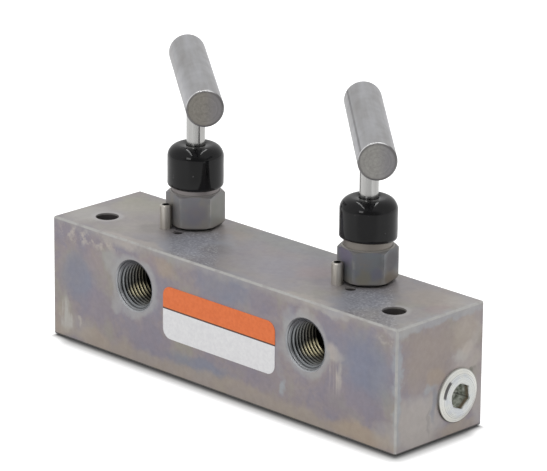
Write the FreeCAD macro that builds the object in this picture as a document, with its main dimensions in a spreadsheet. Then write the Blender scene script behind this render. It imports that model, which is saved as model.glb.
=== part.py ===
import FreeCAD, Part
import os
import re
import Sketcher

# Two-outlet needle valve manifold, in millimetres.
# The origin is the middle of the block's bottom face. +Z is up, +X points at the plugged end,
# and -Y is the side with the two outlets.

UP = FreeCAD.Vector(0, 0, 1)
BACK = FreeCAD.Vector(0, 1, 0)

SIZES = {
    # Block
    "block_length": 161.0,
    "block_depth": 41.0,
    "block_height": 42.6,
    "edge_break": 0.5,
    # Layout of the drillings
    "valve_spacing": 80.5,
    "valve_to_back": 12.2,
    "outlet_height": 27.2,
    "gallery_height": 13.4,
    "mount_to_end": 13.4,
    "mount_to_front": 12.9,
    "mount_hole": 8.0,
    # Pipe ports, 3/8-18 taper thread, and the drillings behind them
    "port_thread": 17.0,
    "port_mouth": 18.4,
    "port_thread_depth": 14.0,
    "port_core": 14.4,
    "port_core_runout": 2.0,
    "drill_point_angle": 59.0,
    "passage": 5.6,
    "gallery": 7.0,
    # Valve cavity
    "bonnet_thread": 14.29,
    "bonnet_bore_depth": 11.0,
    "cavity_chamfer": 0.6,
    "chamber": 9.2,
    "chamber_below_outlet": 6.0,
    "seat_mouth": 5.0,
    "orifice": 4.0,
    "seat_angle": 30.0,
    # Fits
    "thread_gap": 0.05,
    "running_gap": 0.06,
    "press_gap": 0.02,
    "ring_slack": 0.05,
    # Bonnet
    "hex_flats": 17.46,
    "hex_face": 16.7,
    "hex_height": 12.0,
    "hex_gap": 0.5,
    "hex_angle": 45.0,
    "corner_angle": 30.0,
    "neck": 16.2,
    "neck_height": 9.5,
    "neck_chamfer": 0.8,
    "seal_thickness": 1.0,
    "seal_bore": 9.9,
    # Gland
    "gland_thread": 12.0,
    "gland_bore_depth": 6.0,
    "gland_nip": 0.1,
    "gland_flats": 12.7,
    "gland_face": 12.0,
    "gland_head": 2.7,
    "gland_standoff": 0.2,
    "packing_bore": 10.1,
    "ring_section": 1.78,
    "backup_thickness": 1.2,
    # Stem and needle
    "stem": 6.35,
    "stem_thread": 9.525,
    "stem_thread_length": 11.0,
    "stem_thread_above_seal": 1.0,
    "stem_stop_gap": 0.3,
    "needle_lift": 2.91,
    "needle_head": 6.0,
    "needle_head_height": 3.0,
    "needle_point": 1.0,
    "needle_shank": 3.2,
    "needle_shank_length": 4.8,
    "needle_seat_gap": 0.1,
    "tip_socket_slack": 0.25,
    # Handle bar
    "bar_diameter": 12.7,
    "bar_length": 69.85,
    "bar_height": 51.1,
    "bar_chamfer": 0.6,
    "stem_past_bar_axis": 2.5,
    "left_bar_angle": -39.25,
    "right_bar_angle": -42.75,
    # Dust cap
    "cap_diameter": 19.3,
    "cap_mouth": 16.9,
    "cap_taper": 2.4,
    "cap_height": 15.0,
    "cap_above_hex": 1.15,
    "cap_wall": 1.5,
    "cap_shoulder": 4.0,
    "cap_rim": 11.3,
    "cap_land": 0.01,
    "cap_dish": 0.4,
    "cap_gap": 0.05,
    "cap_stem_gap": 0.2,
    # Slotted spring pins that lock the bonnets
    "lock_pin": 3.97,
    "lock_pin_wall": 0.8,
    "lock_pin_length": 15.9,
    "left_pin_proud": 8.4,
    "right_pin_proud": 7.5,
    "lock_pin_chamfer": 0.3,
    "lock_pin_slot_angle": 24.0,
    "lock_pin_hex_gap": 0.08,
    "lock_pin_along_flat": 1.33,
    "left_slot_angle": 20.0,
    "right_slot_angle": 35.0,
    "spare_hole_angle": 283.0,
    "spare_hole": 3.8,
    "pin_hole_slack": 0.5,
    # Gallery plug
    "plug_thread": 14.29,
    "plug_reach": 11.0,
    "plug_bore_slack": 1.0,
    "plug_head": 18.26,
    "plug_face": 13.2,
    "plug_rim": 0.5,
    "plug_proud": 1.8,
    "plug_neck": 12.7,
    "plug_chamfer": 0.6,
    "plug_ring_section": 2.0,
    "socket_flats": 7.94,
    "socket_depth": 5.5,
    "socket_mouth": 8.9,
    "socket_angle": 7.0,
    # Label on the outlet side
    "label_length": 52.5,
    "label_width": 18.4,
    "label_thickness": 0.15,
    "label_corner": 3.5,
    "label_across": 0.3,
    "label_height": 22.05,
}

# A sketch's points and circles start about here, until their constraints place them
ROUGH = 50.0
# Lengths this close are the same, and so are directions with this sine between them
NEAR = 1e-4

# Heights above the block's bottom face, as formulas of the sizes
BONNET_FLOOR = "(block_height - bonnet_bore_depth)"
BONNET_BASE = f"({BONNET_FLOOR} + seal_thickness)"
CHAMBER_FLOOR = "(outlet_height - chamber_below_outlet)"
HEX_BASE = "(block_height + hex_gap)"
HEX_TOP = f"({HEX_BASE} + hex_height)"
NECK_TOP = f"({HEX_TOP} + neck_height)"
GLAND_FLOOR = f"({NECK_TOP} - gland_bore_depth)"
BACKUP_TOP = f"({GLAND_FLOOR} + gland_nip)"
BACKUP_BASE = f"({BACKUP_TOP} - backup_thickness)"
PACKING_FLOOR = f"({BACKUP_BASE} - ring_section - 2 * ring_slack)"
CAP_BASE = f"({HEX_TOP} + cap_above_hex)"
CAP_TOP = f"({CAP_BASE} + cap_height)"
STEM_THREAD_BASE = f"({BONNET_BASE} + stem_thread_above_seal)"
STEM_THREAD_TOP = f"({STEM_THREAD_BASE} + stem_thread_length)"
STEM_STOP = f"({STEM_THREAD_TOP} + needle_lift + stem_stop_gap)"
CONE_BASE = f"({CHAMBER_FLOOR} + needle_seat_gap + (needle_head - seat_mouth) / (2 * tan(seat_angle)))"
CONE_TIP = f"({CHAMBER_FLOOR} + needle_seat_gap - (seat_mouth - needle_point) / (2 * tan(seat_angle)))"
NEEDLE_TOP = f"({CONE_BASE} + needle_head_height)"
STEM_BASE = f"({NEEDLE_TOP} + ring_slack)"
BAR_AXIS = "(block_height + bar_height)"
STEM_TOP = f"({BAR_AXIS} + stem_past_bar_axis)"

# Places in plan, as formulas of the sizes
VALVE_Y = "(block_depth / 2 - valve_to_back)"
VALVE_X = {"left": "(-valve_spacing / 2)", "right": "(valve_spacing / 2)"}
MOUNT_X = "(block_length / 2 - mount_to_end)"
MOUNT_Y = "(mount_to_front - block_depth / 2)"
# A lock pin stands beside the hexagon's flat that faces this way, a little along the flat
PIN_FLAT = "(hex_angle + 210)"
PIN_OUT = "(hex_flats / 2 + lock_pin / 2 + lock_pin_hex_gap)"
PIN_X = f"({PIN_OUT} * cos({PIN_FLAT}) + lock_pin_along_flat * sin({PIN_FLAT}))"
PIN_Y = f"({PIN_OUT} * sin({PIN_FLAT}) - lock_pin_along_flat * cos({PIN_FLAT}))"
SPARE_X = f"({PIN_OUT} * cos(spare_hole_angle))"
SPARE_Y = f"({PIN_OUT} * sin(spare_hole_angle))"

doc = FreeCAD.newDocument("manifold")
sheet = doc.addObject("Spreadsheet::Sheet", "Sizes")
for row, (alias, value) in enumerate(SIZES.items(), start=1):
    sheet.set(f"A{row}", alias)
    sheet.set(f"B{row}", str(value))
    sheet.setAlias(f"B{row}", alias)
doc.recompute()


def cells(formula):
    """The formula with each size's name pointed at its cell of the sheet."""
    return re.sub(r"[a-z_]{4,}", lambda name: "Sizes." + name.group(), formula)


def bind(thing, prop, formula):
    thing.setExpression(prop, cells(formula))


def new_body(name):
    body = doc.addObject("PartDesign::Body", name)
    body.Label = name
    return body


def about(axis):
    """A placement with this axis. The angle of 1 only keeps the axis until a formula sets it."""
    return FreeCAD.Placement(FreeCAD.Vector(), FreeCAD.Rotation(axis, 1))


def place(thing, across, back="0", up="0", turn="0", axis=UP):
    """Stand a sub-part at its place; turn is in degrees about axis."""
    thing.Placement = about(axis)
    bind(thing, "Placement.Rotation.Angle", turn)
    for letter, formula in zip("xyz", (across, back, up)):
        bind(thing, "Placement.Base." + letter, formula)


def origin_plane(body, role):
    planes = [item for item in body.Origin.OriginFeatures if item.Role == role]
    return (planes[0], [""])


def attach(item, body, plane, offset, turn="0"):
    """Lay a sketch or prism on one of its body's origin planes, shifted by three formulas."""
    item.AttachmentSupport = origin_plane(body, plane)
    item.MapMode = "FlatFace"
    item.AttachmentOffset = about(UP)
    bind(item, "AttachmentOffset.Rotation.Angle", turn)
    for letter, formula in zip("xyz", offset):
        bind(item, "AttachmentOffset.Base." + letter, formula)


def new_sketch(body, name, plane, offset):
    sketch = body.newObject("Sketcher::SketchObject", name)
    attach(sketch, body, plane, offset)
    return sketch


def hold(sketch, kind, line, formula, axis):
    """Fix the first coordinate (axis -2) or the second (axis -1) of a line's start point."""
    if formula == "0":
        sketch.addConstraint(Sketcher.Constraint("PointOnObject", line, 1, axis))
        return
    number = sketch.addConstraint(Sketcher.Constraint(kind, -1, 1, line, 1, ROUGH + line))
    bind(sketch, f"Constraints[{number}]", formula)


def outline(body, name, plane, corners, offset=("0", "0", "0")):
    """A closed outline of straight lines. Each corner is a pair of formulas."""
    sketch = new_sketch(body, name, plane, offset)
    count = len(corners)
    start = [FreeCAD.Vector(ROUGH + step, ROUGH + step * step, 0) for step in range(count)]
    for step in range(count):
        sketch.addGeometry(Part.LineSegment(start[step], start[(step + 1) % count]), False)
    for step in range(count):
        sketch.addConstraint(Sketcher.Constraint("Coincident", step, 2, (step + 1) % count, 1))
    for step, (first, second) in enumerate(corners):
        hold(sketch, "DistanceX", step, first, -2)
        hold(sketch, "DistanceY", step, second, -1)
    return sketch


def disc(body, name, plane, diameter, offset):
    """A circle round the sketch's own origin."""
    sketch = new_sketch(body, name, plane, offset)
    sketch.addGeometry(Part.Circle(FreeCAD.Vector(), UP, ROUGH), False)
    sketch.addConstraint(Sketcher.Constraint("Coincident", 0, 3, -1, 1))
    number = sketch.addConstraint(Sketcher.Constraint("Diameter", 0, 2 * ROUGH))
    bind(sketch, f"Constraints[{number}]", diameter)
    return sketch


def feature(body, kind, name, profile=None):
    item = body.newObject("PartDesign::" + kind, name)
    if profile is not None:
        item.Profile = profile
        profile.Visibility = False
    body.Tip = item
    return item


def turned(body, kind, sketch, axis="V_Axis", angle="360"):
    """A Revolution or Groove of the sketch about one of its own axes."""
    item = feature(body, kind, kind, sketch)
    item.ReferenceAxis = (sketch, [axis])
    bind(item, "Angle", angle)
    return item


def cut(body, sketch, depth=None, reverse=False):
    """A Pocket of the sketch, to a depth or through everything."""
    item = feature(body, "Pocket", "Pocket", sketch)
    item.Reversed = reverse
    if depth is None:
        item.Type = "ThroughAll"
        item.Midplane = True
    else:
        bind(item, "Length", depth)
    return item


def prism(body, kind, flats, base, height, turn="0"):
    """A hexagon bar, given by its width across flats."""
    item = feature(body, kind, kind)
    item.Polygon = 6
    attach(item, body, "XY_Plane", ("0", "0", base), turn)
    bind(item, "Circumradius", f"{flats} / (2 * cos(30))")
    bind(item, "Height", height)
    return item


def ring_edges(shape, radius, height):
    """Names of the circular edges about the Z axis with this radius, at this height."""
    names = []
    for number, edge in enumerate(shape.Edges, start=1):
        if not isinstance(edge.Curve, Part.Circle):
            continue
        misses = (edge.Curve.Radius - radius, edge.Curve.Center.z - height)
        if max(map(abs, misses)) < NEAR:
            names.append(f"Edge{number}")
    return names


def dress(body, kind, names, prop, formula):
    """A Fillet or Chamfer of named edges of the body's last feature."""
    base = body.Tip
    item = feature(body, kind, kind)
    item.Base = (base, names)
    bind(item, prop, formula)
    return item


def port_corners():
    """Half section of a pipe port and the drilling behind it: radius, then depth."""
    core_depth = "(port_thread_depth + port_core_runout)"
    return [
        ("port_mouth / 2", "0"),
        ("port_thread / 2", "(port_mouth - port_thread) / 2"),
        ("port_thread / 2", "port_thread_depth"),
        ("port_core / 2", "port_thread_depth"),
        ("port_core / 2", core_depth),
        ("passage / 2", f"{core_depth} + (port_core - passage) / (2 * tan(drill_point_angle))"),
    ]


def outlet(body):
    """The left outlet: a tapped port in the front face and its passage to the valve chamber."""
    run = "(block_depth - valve_to_back)"
    corners = [("0", "0")] + port_corners() + [("passage / 2", run), ("0", run)]
    offset = (VALVE_X["left"], "-block_depth / 2", "outlet_height")
    return turned(body, "Groove", outline(body, "outlet", "XY_Plane", corners, offset))


def valve_cavity(body):
    """The left cavity: bonnet thread, shoulder for the seal, chamber, seat and orifice."""
    seat_floor = f"({CHAMBER_FLOOR} - (seat_mouth - orifice) / (2 * tan(seat_angle)))"
    corners = [
        ("0", "gallery_height"),
        ("orifice / 2", "gallery_height"),
        ("orifice / 2", seat_floor),
        ("seat_mouth / 2", CHAMBER_FLOOR),
        ("chamber / 2", CHAMBER_FLOOR),
        ("chamber / 2", BONNET_FLOOR),
        ("bonnet_thread / 2", BONNET_FLOOR),
        ("bonnet_thread / 2", "block_height - cavity_chamfer"),
        ("bonnet_thread / 2 + cavity_chamfer", "block_height"),
        ("0", "block_height"),
    ]
    offset = (VALVE_X["left"], "0", f"-{VALVE_Y}")
    return turned(body, "Groove", outline(body, "cavity", "XZ_Plane", corners, offset))


def gallery(body):
    """The long drilling: inlet port at the left end, plug port at the right end."""
    core_depth = "(port_thread_depth + port_core_runout)"
    cone_end = f"{core_depth} + (port_core - gallery) / (2 * tan(drill_point_angle))"
    plug_floor = "(block_length - plug_reach - plug_bore_slack)"
    ring_floor = "(block_length - plug_ring_section - 2 * ring_slack)"
    ring_radius = "(plug_neck / 2 + plug_ring_section + 2 * ring_slack)"
    corners = [(depth, radius) for radius, depth in port_corners()[:-1]]
    corners = [("0", "0")] + corners + [
        (cone_end, "gallery / 2"),
        (plug_floor, "gallery / 2"),
        (plug_floor, "plug_thread / 2"),
        (ring_floor, "plug_thread / 2"),
        (ring_floor, ring_radius),
        ("block_length", ring_radius),
        ("block_length", "0"),
    ]
    offset = ("-block_length / 2", VALVE_Y, "gallery_height")
    return turned(body, "Groove", outline(body, "gallery", "XY_Plane", corners, offset), "H_Axis")


def pin_hole(body, name, diameter, across, back):
    """A blind hole in the top face beside the left valve."""
    place_of_hole = (f"{VALVE_X['left']} + {across}", f"{VALVE_Y} + {back}", "block_height")
    depth = "lock_pin_length - min(left_pin_proud; right_pin_proud) + pin_hole_slack"
    return cut(body, disc(body, name, "XY_Plane", diameter, place_of_hole), depth)


def manifold_block():
    body = new_body("manifold_block")
    plan = [("0", "0"), ("block_length", "0"), ("block_length", "block_depth"), ("0", "block_depth")]
    corner = ("-block_length / 2", "-block_depth / 2", "0")
    stock = feature(body, "Pad", "Pad", outline(body, "plan", "XY_Plane", plan, corner))
    bind(stock, "Length", "block_height")
    doc.recompute()
    every_edge = [f"Edge{number}" for number in range(1, len(stock.Shape.Edges) + 1)]
    dress(body, "Chamfer", every_edge, "Size", "edge_break")
    left_valve = [
        valve_cavity(body),
        outlet(body),
        pin_hole(body, "lock_hole", "lock_pin + 2 * press_gap", PIN_X, PIN_Y),
        pin_hole(body, "spare_hole", "spare_hole", SPARE_X, SPARE_Y),
    ]
    across = feature(body, "LinearPattern", "both_valves")
    across.Originals = left_valve
    across.Direction = (left_valve[2].Profile[0], ["H_Axis"])
    across.Occurrences = 2
    bind(across, "Length", "valve_spacing")
    gallery(body)
    mount = cut(body, disc(body, "mount_hole", "XY_Plane", "mount_hole", (MOUNT_X, MOUNT_Y, "0")))
    other = feature(body, "Mirrored", "both_mounts")
    other.Originals = [mount]
    other.MirrorPlane = origin_plane(body, "YZ_Plane")
    return body


def corner_cut(body, name, flats, face, edge, slope_up):
    """Turn the corners of a hexagon back to a round face, at its top or bottom edge."""
    reach = f"({flats} / cos(30))"
    drop = f"({reach} - {face} / 2) * tan(corner_angle)"
    far = f"{edge} + {drop}" if slope_up else f"{edge} - {drop}"
    corners = [(f"{face} / 2", edge), (reach, edge), (reach, far)]
    return turned(body, "Groove", outline(body, name, "XZ_Plane", corners))


def bonnet(side):
    """Hexagon bonnet: threaded shank below, neck for the dust cap above, stepped bore inside."""
    body = new_body(f"{side}_bonnet")
    prism(body, "AdditivePrism", "hex_flats", HEX_BASE, "hex_height", "hex_angle")
    corner_cut(body, "top_corners", "hex_flats", "hex_face", HEX_TOP, False)
    corner_cut(body, "bottom_corners", "hex_flats", "hex_face", HEX_BASE, True)
    shank = "(bonnet_thread / 2 - thread_gap)"
    round_part = [
        ("0", BONNET_BASE),
        (f"{shank} - cavity_chamfer", BONNET_BASE),
        (shank, f"{BONNET_BASE} + cavity_chamfer"),
        (shank, HEX_TOP),
        ("neck / 2", HEX_TOP),
        ("neck / 2", f"{NECK_TOP} - neck_chamfer"),
        ("neck / 2 - neck_chamfer", NECK_TOP),
        ("0", NECK_TOP),
    ]
    turned(body, "Revolution", outline(body, "round_part", "XZ_Plane", round_part))
    thread_bore = "(stem_thread / 2 + running_gap)"
    stem_bore = "(stem / 2 + running_gap)"
    bore = [
        ("0", BONNET_BASE),
        (thread_bore, BONNET_BASE),
        (thread_bore, STEM_STOP),
        (stem_bore, STEM_STOP),
        (stem_bore, PACKING_FLOOR),
        ("packing_bore / 2", PACKING_FLOOR),
        ("packing_bore / 2", GLAND_FLOOR),
        ("gland_thread / 2", GLAND_FLOOR),
        ("gland_thread / 2", NECK_TOP),
        ("0", NECK_TOP),
    ]
    turned(body, "Groove", outline(body, "bore", "XZ_Plane", bore))
    return body


def bonnet_seal(side):
    """Flat ring between the bonnet's end and the shoulder in the block."""
    body = new_body(f"{side}_bonnet_seal")
    rim = "bonnet_thread / 2 - ring_slack"
    corners = [("seal_bore / 2", BONNET_FLOOR), (rim, BONNET_FLOOR),
               (rim, BONNET_BASE), ("seal_bore / 2", BONNET_BASE)]
    turned(body, "Revolution", outline(body, "section", "XZ_Plane", corners))
    return body


def gland_nut(side):
    """Hollow screw that holds the stem's packing down."""
    body = new_body(f"{side}_gland_nut")
    head = f"({NECK_TOP} + gland_standoff)"
    top = f"({head} + gland_head)"
    prism(body, "AdditivePrism", "gland_flats", head, "gland_head", "hex_angle")
    corner_cut(body, "top_corners", "gland_flats", "gland_face", top, False)
    shank = "(gland_thread / 2 - thread_gap)"
    nose = "(packing_bore / 2 - thread_gap)"
    corners = [("0", BACKUP_TOP), (nose, BACKUP_TOP), (shank, f"{BACKUP_TOP} + {shank} - {nose}"),
               (shank, top), ("0", top)]
    turned(body, "Revolution", outline(body, "shank", "XZ_Plane", corners))
    bore = "(stem / 2 + running_gap)"
    hole = [("0", BACKUP_TOP), (bore, BACKUP_TOP), (bore, top), ("0", top)]
    turned(body, "Groove", outline(body, "bore", "XZ_Plane", hole))
    return body


def stem_o_ring(side):
    ring = doc.addObject("Part::Torus", f"{side}_stem_o_ring")
    ring.Label = ring.Name
    bind(ring, "Radius1", "stem / 2 + ring_slack + ring_section / 2")
    bind(ring, "Radius2", "ring_section / 2")
    return ring


def backup_ring(side):
    body = new_body(f"{side}_backup_ring")
    rim = "packing_bore / 2 - ring_slack"
    bore = "stem / 2 + running_gap"
    corners = [(bore, BACKUP_BASE), (rim, BACKUP_BASE), (rim, BACKUP_TOP), (bore, BACKUP_TOP)]
    turned(body, "Revolution", outline(body, "section", "XZ_Plane", corners))
    return body


def dust_cap(side):
    """Soft cap over the neck: tucked mouth, round shoulder and a dished top about the stem."""
    body = new_body(f"{side}_dust_cap")
    hole = "(stem / 2 + cap_stem_gap)"
    bore = "(neck / 2 + cap_gap)"
    roof = f"({CAP_TOP} - cap_wall)"
    inner_corner = "(cap_shoulder - cap_wall)"
    corners = [
        (bore, CAP_BASE),
        ("cap_mouth / 2", CAP_BASE),
        ("cap_diameter / 2", f"{CAP_BASE} + cap_taper"),
        ("cap_diameter / 2", CAP_TOP),
        ("cap_rim / 2", CAP_TOP),
        (hole, f"{CAP_TOP} - cap_dish"),
        (hole, f"{roof} - cap_dish"),
        ("cap_rim / 2", roof),
        (f"{bore} - {inner_corner}", roof),
        (bore, f"{roof} - {inner_corner}"),
    ]
    turned(body, "Revolution", outline(body, "section", "XZ_Plane", corners))
    doc.recompute()
    high = body.Shape.BoundBox.ZMax
    rim = ring_edges(body.Shape, sheet.cap_diameter / 2, high)
    widest = "(cap_diameter - cap_rim) / 2 - cap_land"
    dress(body, "Fillet", rim, "Radius", f"min(cap_shoulder; {widest})")
    return body


def lock_pin(side):
    """Spring pin: a rolled tube with an open slot along it."""
    body = new_body(f"{side}_lock_pin")
    head = f"(block_height + {side}_pin_proud)"
    foot = f"({head} - lock_pin_length)"
    bore = "(lock_pin / 2 - lock_pin_wall)"
    corners = [
        (bore, foot),
        ("lock_pin / 2 - lock_pin_chamfer", foot),
        ("lock_pin / 2", f"{foot} + lock_pin_chamfer"),
        ("lock_pin / 2", f"{head} - lock_pin_chamfer"),
        ("lock_pin / 2 - lock_pin_chamfer", head),
        (bore, head),
    ]
    sketch = outline(body, "wall", "XZ_Plane", corners)
    roll = turned(body, "Revolution", sketch, angle="360 - lock_pin_slot_angle")
    roll.Midplane = True
    return body


def needle_tip(side):
    """Pointed end that closes the orifice and doesn't turn with the stem."""
    body = new_body(f"{side}_needle_tip")
    shank_top = f"{NEEDLE_TOP} + needle_shank_length"
    corners = [
        ("0", CONE_TIP),
        ("needle_point / 2", CONE_TIP),
        ("needle_head / 2", CONE_BASE),
        ("needle_head / 2", NEEDLE_TOP),
        ("needle_shank / 2", NEEDLE_TOP),
        ("needle_shank / 2", shank_top),
        ("0", shank_top),
    ]
    turned(body, "Revolution", outline(body, "section", "XZ_Plane", corners))
    return body


def stem(side):
    """Stem: socket for the needle tip, threaded waist that stops against the bonnet, plain shaft."""
    body = new_body(f"{side}_stem")
    socket = "(needle_shank / 2 + running_gap)"
    socket_top = f"({NEEDLE_TOP} + needle_shank_length + tip_socket_slack)"
    corners = [
        ("0", socket_top),
        (socket, socket_top),
        (socket, STEM_BASE),
        ("stem / 2", STEM_BASE),
        ("stem / 2", STEM_THREAD_BASE),
        ("stem_thread / 2", STEM_THREAD_BASE),
        ("stem_thread / 2", STEM_THREAD_TOP),
        ("stem / 2", STEM_THREAD_TOP),
        ("stem / 2", STEM_TOP),
        ("0", STEM_TOP),
    ]
    turned(body, "Revolution", outline(body, "section", "XZ_Plane", corners))
    return body


def handle_bar(side):
    """Round bar with broken ends, drilled halfway from below for the stem."""
    body = new_body(f"{side}_handle_bar")
    corners = [
        ("0", "0"),
        ("0", "bar_diameter / 2 - bar_chamfer"),
        ("bar_chamfer", "bar_diameter / 2"),
        ("bar_length - bar_chamfer", "bar_diameter / 2"),
        ("bar_length", "bar_diameter / 2 - bar_chamfer"),
        ("bar_length", "0"),
    ]
    offset = ("-bar_length / 2", "0", BAR_AXIS)
    turned(body, "Revolution", outline(body, "section", "XY_Plane", corners, offset), "H_Axis")
    low = f"({BAR_AXIS} - bar_diameter)"
    hole = disc(body, "stem_hole", "XY_Plane", "stem + 2 * press_gap", ("0", "0", low))
    cut(body, hole, f"{STEM_TOP} + press_gap - {low}", reverse=True)
    return body


def gallery_plug():
    """Hollow-hexagon plug. Its own Z axis runs out of the block's right end."""
    body = new_body("gallery_plug")
    thread = "(plug_thread / 2 - thread_gap)"
    groove = "(plug_reach - plug_ring_section - 2 * ring_slack)"
    face = "(plug_reach + plug_proud)"
    corners = [
        ("0", "0"),
        (f"{thread} - plug_chamfer", "0"),
        (thread, "plug_chamfer"),
        (thread, groove),
        ("plug_neck / 2", groove),
        ("plug_neck / 2", "plug_reach"),
        ("plug_head / 2", "plug_reach"),
        ("plug_head / 2", "plug_reach + plug_rim"),
        ("plug_face / 2", face),
        ("0", face),
    ]
    turned(body, "Revolution", outline(body, "section", "XZ_Plane", corners))
    prism(body, "SubtractivePrism", "socket_flats", f"{face} - socket_depth", "socket_depth",
          "socket_angle")
    mouth_depth = "(socket_mouth - socket_flats) / 2 + ring_slack"
    cone = [("0", face), ("socket_mouth / 2", face),
            ("socket_flats / 2 - ring_slack", f"{face} - {mouth_depth}"),
            ("0", f"{face} - {mouth_depth}")]
    turned(body, "Groove", outline(body, "countersink", "XZ_Plane", cone))
    return body


def plug_o_ring():
    ring = doc.addObject("Part::Torus", "gallery_plug_o_ring")
    ring.Label = ring.Name
    bind(ring, "Radius1", "plug_neck / 2 + ring_slack + plug_ring_section / 2")
    bind(ring, "Radius2", "plug_ring_section / 2")
    return ring


def front_label():
    """Thin plain plate on the outlet side, between the two ports."""
    body = new_body("front_label")
    plan = [("0", "0"), ("label_length", "0"), ("label_length", "label_width"), ("0", "label_width")]
    corner = ("label_across - label_length / 2", "label_height - label_width / 2", "block_depth / 2")
    plate = feature(body, "Pad", "Pad", outline(body, "plan", "XZ_Plane", plan, corner))
    bind(plate, "Length", "label_thickness")
    doc.recompute()
    through = [f"Edge{number}" for number, edge in enumerate(plate.Shape.Edges, start=1)
               if edge.tangentAt(edge.FirstParameter).cross(BACK).Length < NEAR]
    dress(body, "Fillet", through, "Radius", "label_corner")
    return body


def valve(side):
    """One needle valve, every piece on the valve's own axis."""
    here = (VALVE_X[side], VALVE_Y)
    for make in (bonnet, bonnet_seal, gland_nut, backup_ring, dust_cap, needle_tip, stem):
        place(make(side), *here)
    ring_height = f"{PACKING_FLOOR} + ring_slack + ring_section / 2"
    place(stem_o_ring(side), *here, ring_height)
    place(handle_bar(side), *here, turn=f"{side}_bar_angle")
    place(lock_pin(side), f"{here[0]} + {PIN_X}", f"{here[1]} + {PIN_Y}",
          turn=f"{side}_slot_angle + 180")


def end_plug():
    place(gallery_plug(), "block_length / 2 - plug_reach", VALVE_Y, "gallery_height", "90", BACK)
    ring_place = "block_length / 2 - ring_slack - plug_ring_section / 2"
    place(plug_o_ring(), ring_place, VALVE_Y, "gallery_height", "90", BACK)


def check(items):
    """Stop if anything in the document failed, or if a sub-part isn't one good solid."""
    for item in doc.Objects:
        if "Invalid" in item.State or "Error" in item.State:
            raise RuntimeError(f"{item.Name} failed: {item.State}")
    for item in items:
        shape = item.Shape
        if shape.isNull() or not shape.isValid() or len(shape.Solids) != 1:
            raise RuntimeError(f"{item.Label} has no single valid solid")


manifold_block()
valve("left")
valve("right")
end_plug()
front_label()
doc.recompute()

sub_parts = [item for item in doc.Objects if item.TypeId in ("PartDesign::Body", "Part::Torus")]
check(sub_parts)
os.makedirs("parts", exist_ok=True)
for sub_part in sub_parts:
    sub_part.Shape.exportStep(os.path.join("parts", sub_part.Label + ".step"))
    print(f"{sub_part.Label:24s} {sub_part.Shape.Volume:12.2f} mm3")
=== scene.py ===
import math

import bmesh
import bpy
from mathutils import Color, Matrix, Vector


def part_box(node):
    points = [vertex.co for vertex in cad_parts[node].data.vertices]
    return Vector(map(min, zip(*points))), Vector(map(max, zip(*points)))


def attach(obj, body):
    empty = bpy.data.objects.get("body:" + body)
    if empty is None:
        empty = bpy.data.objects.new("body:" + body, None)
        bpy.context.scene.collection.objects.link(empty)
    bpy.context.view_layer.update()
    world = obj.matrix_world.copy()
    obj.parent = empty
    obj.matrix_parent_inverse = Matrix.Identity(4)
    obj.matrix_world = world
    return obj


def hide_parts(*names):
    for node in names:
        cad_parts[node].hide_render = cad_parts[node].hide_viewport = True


# Looks of a two-outlet needle valve manifold, in metres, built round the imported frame.
# +Z is up, -Y is the side with the two outlets, and +X points at the plugged end.

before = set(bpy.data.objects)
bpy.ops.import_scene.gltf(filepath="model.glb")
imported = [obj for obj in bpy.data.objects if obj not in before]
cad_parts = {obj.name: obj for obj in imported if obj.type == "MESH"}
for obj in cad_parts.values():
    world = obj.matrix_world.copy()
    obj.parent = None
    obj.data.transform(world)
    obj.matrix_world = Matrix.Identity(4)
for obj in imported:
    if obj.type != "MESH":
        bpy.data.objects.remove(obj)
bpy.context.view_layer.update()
MM = 0.001
UP = Vector((0, 0, 1))

# Where the camera stood: its place, turn about Z, tilt and roll, and its lens
CAMERA_PLACE = Vector((866.897, -874.581, 458.482)) * MM
CAMERA_AZIMUTH = 44.5747
CAMERA_TILT = 71.6530
CAMERA_ROLL = 0.5267
SENSOR = 36.0
FOCAL_PIXELS = 3919.4
IMAGE_WIDTH = 547

SIDES = ("left", "right")
BLOCK_LOW, BLOCK_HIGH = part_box("manifold_block")


def middle(node):
    low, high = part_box(node)
    return (low + high) / 2


# Points on the axes of the valves and of the plug
VALVE = {side: middle(f"{side}_stem") for side in SIDES}
PLUG = middle("gallery_plug")
PLUG_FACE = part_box("gallery_plug")[1].x

# The pipe ports: height of the outlets, radius and depth of the bores, radius of the countersunk mouths
PORT_HEIGHT = 27.2 * MM
PORT_RADIUS = 8.5 * MM
PORT_DEPTH = 12 * MM
PORT_MOUTH = 9.2 * MM
# Centre of each mouth, and the direction into the block
PORTS = {
    f"{side}_outlet": (Vector((VALVE[side].x, BLOCK_LOW.y, PORT_HEIGHT)), Vector((0, 1, 0)))
    for side in SIDES
}
PORTS["inlet"] = (Vector((BLOCK_LOW.x, PLUG.y, PLUG.z)), Vector((1, 0, 0)))

# The plain bolt holes in the top face, set in from the ends and from the front
BOLT_HOLE_RADIUS = 4.0 * MM
BOLT_HOLE_X = BLOCK_HIGH.x - 13.4 * MM
BOLT_HOLE_Y = BLOCK_LOW.y + 12.9 * MM
BOLT_HOLES = [Vector((sign * BOLT_HOLE_X, BOLT_HOLE_Y, 0)) for sign in (-1, 1)]


def tint(red, green, blue):
    """A colour as written on screen, 0 to 255, turned into the shader's linear numbers."""
    return (*Color((red / 255, green / 255, blue / 255)).from_srgb_to_scene_linear(), 1.0)


def grey(level):
    return tint(level, level, level)


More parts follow.
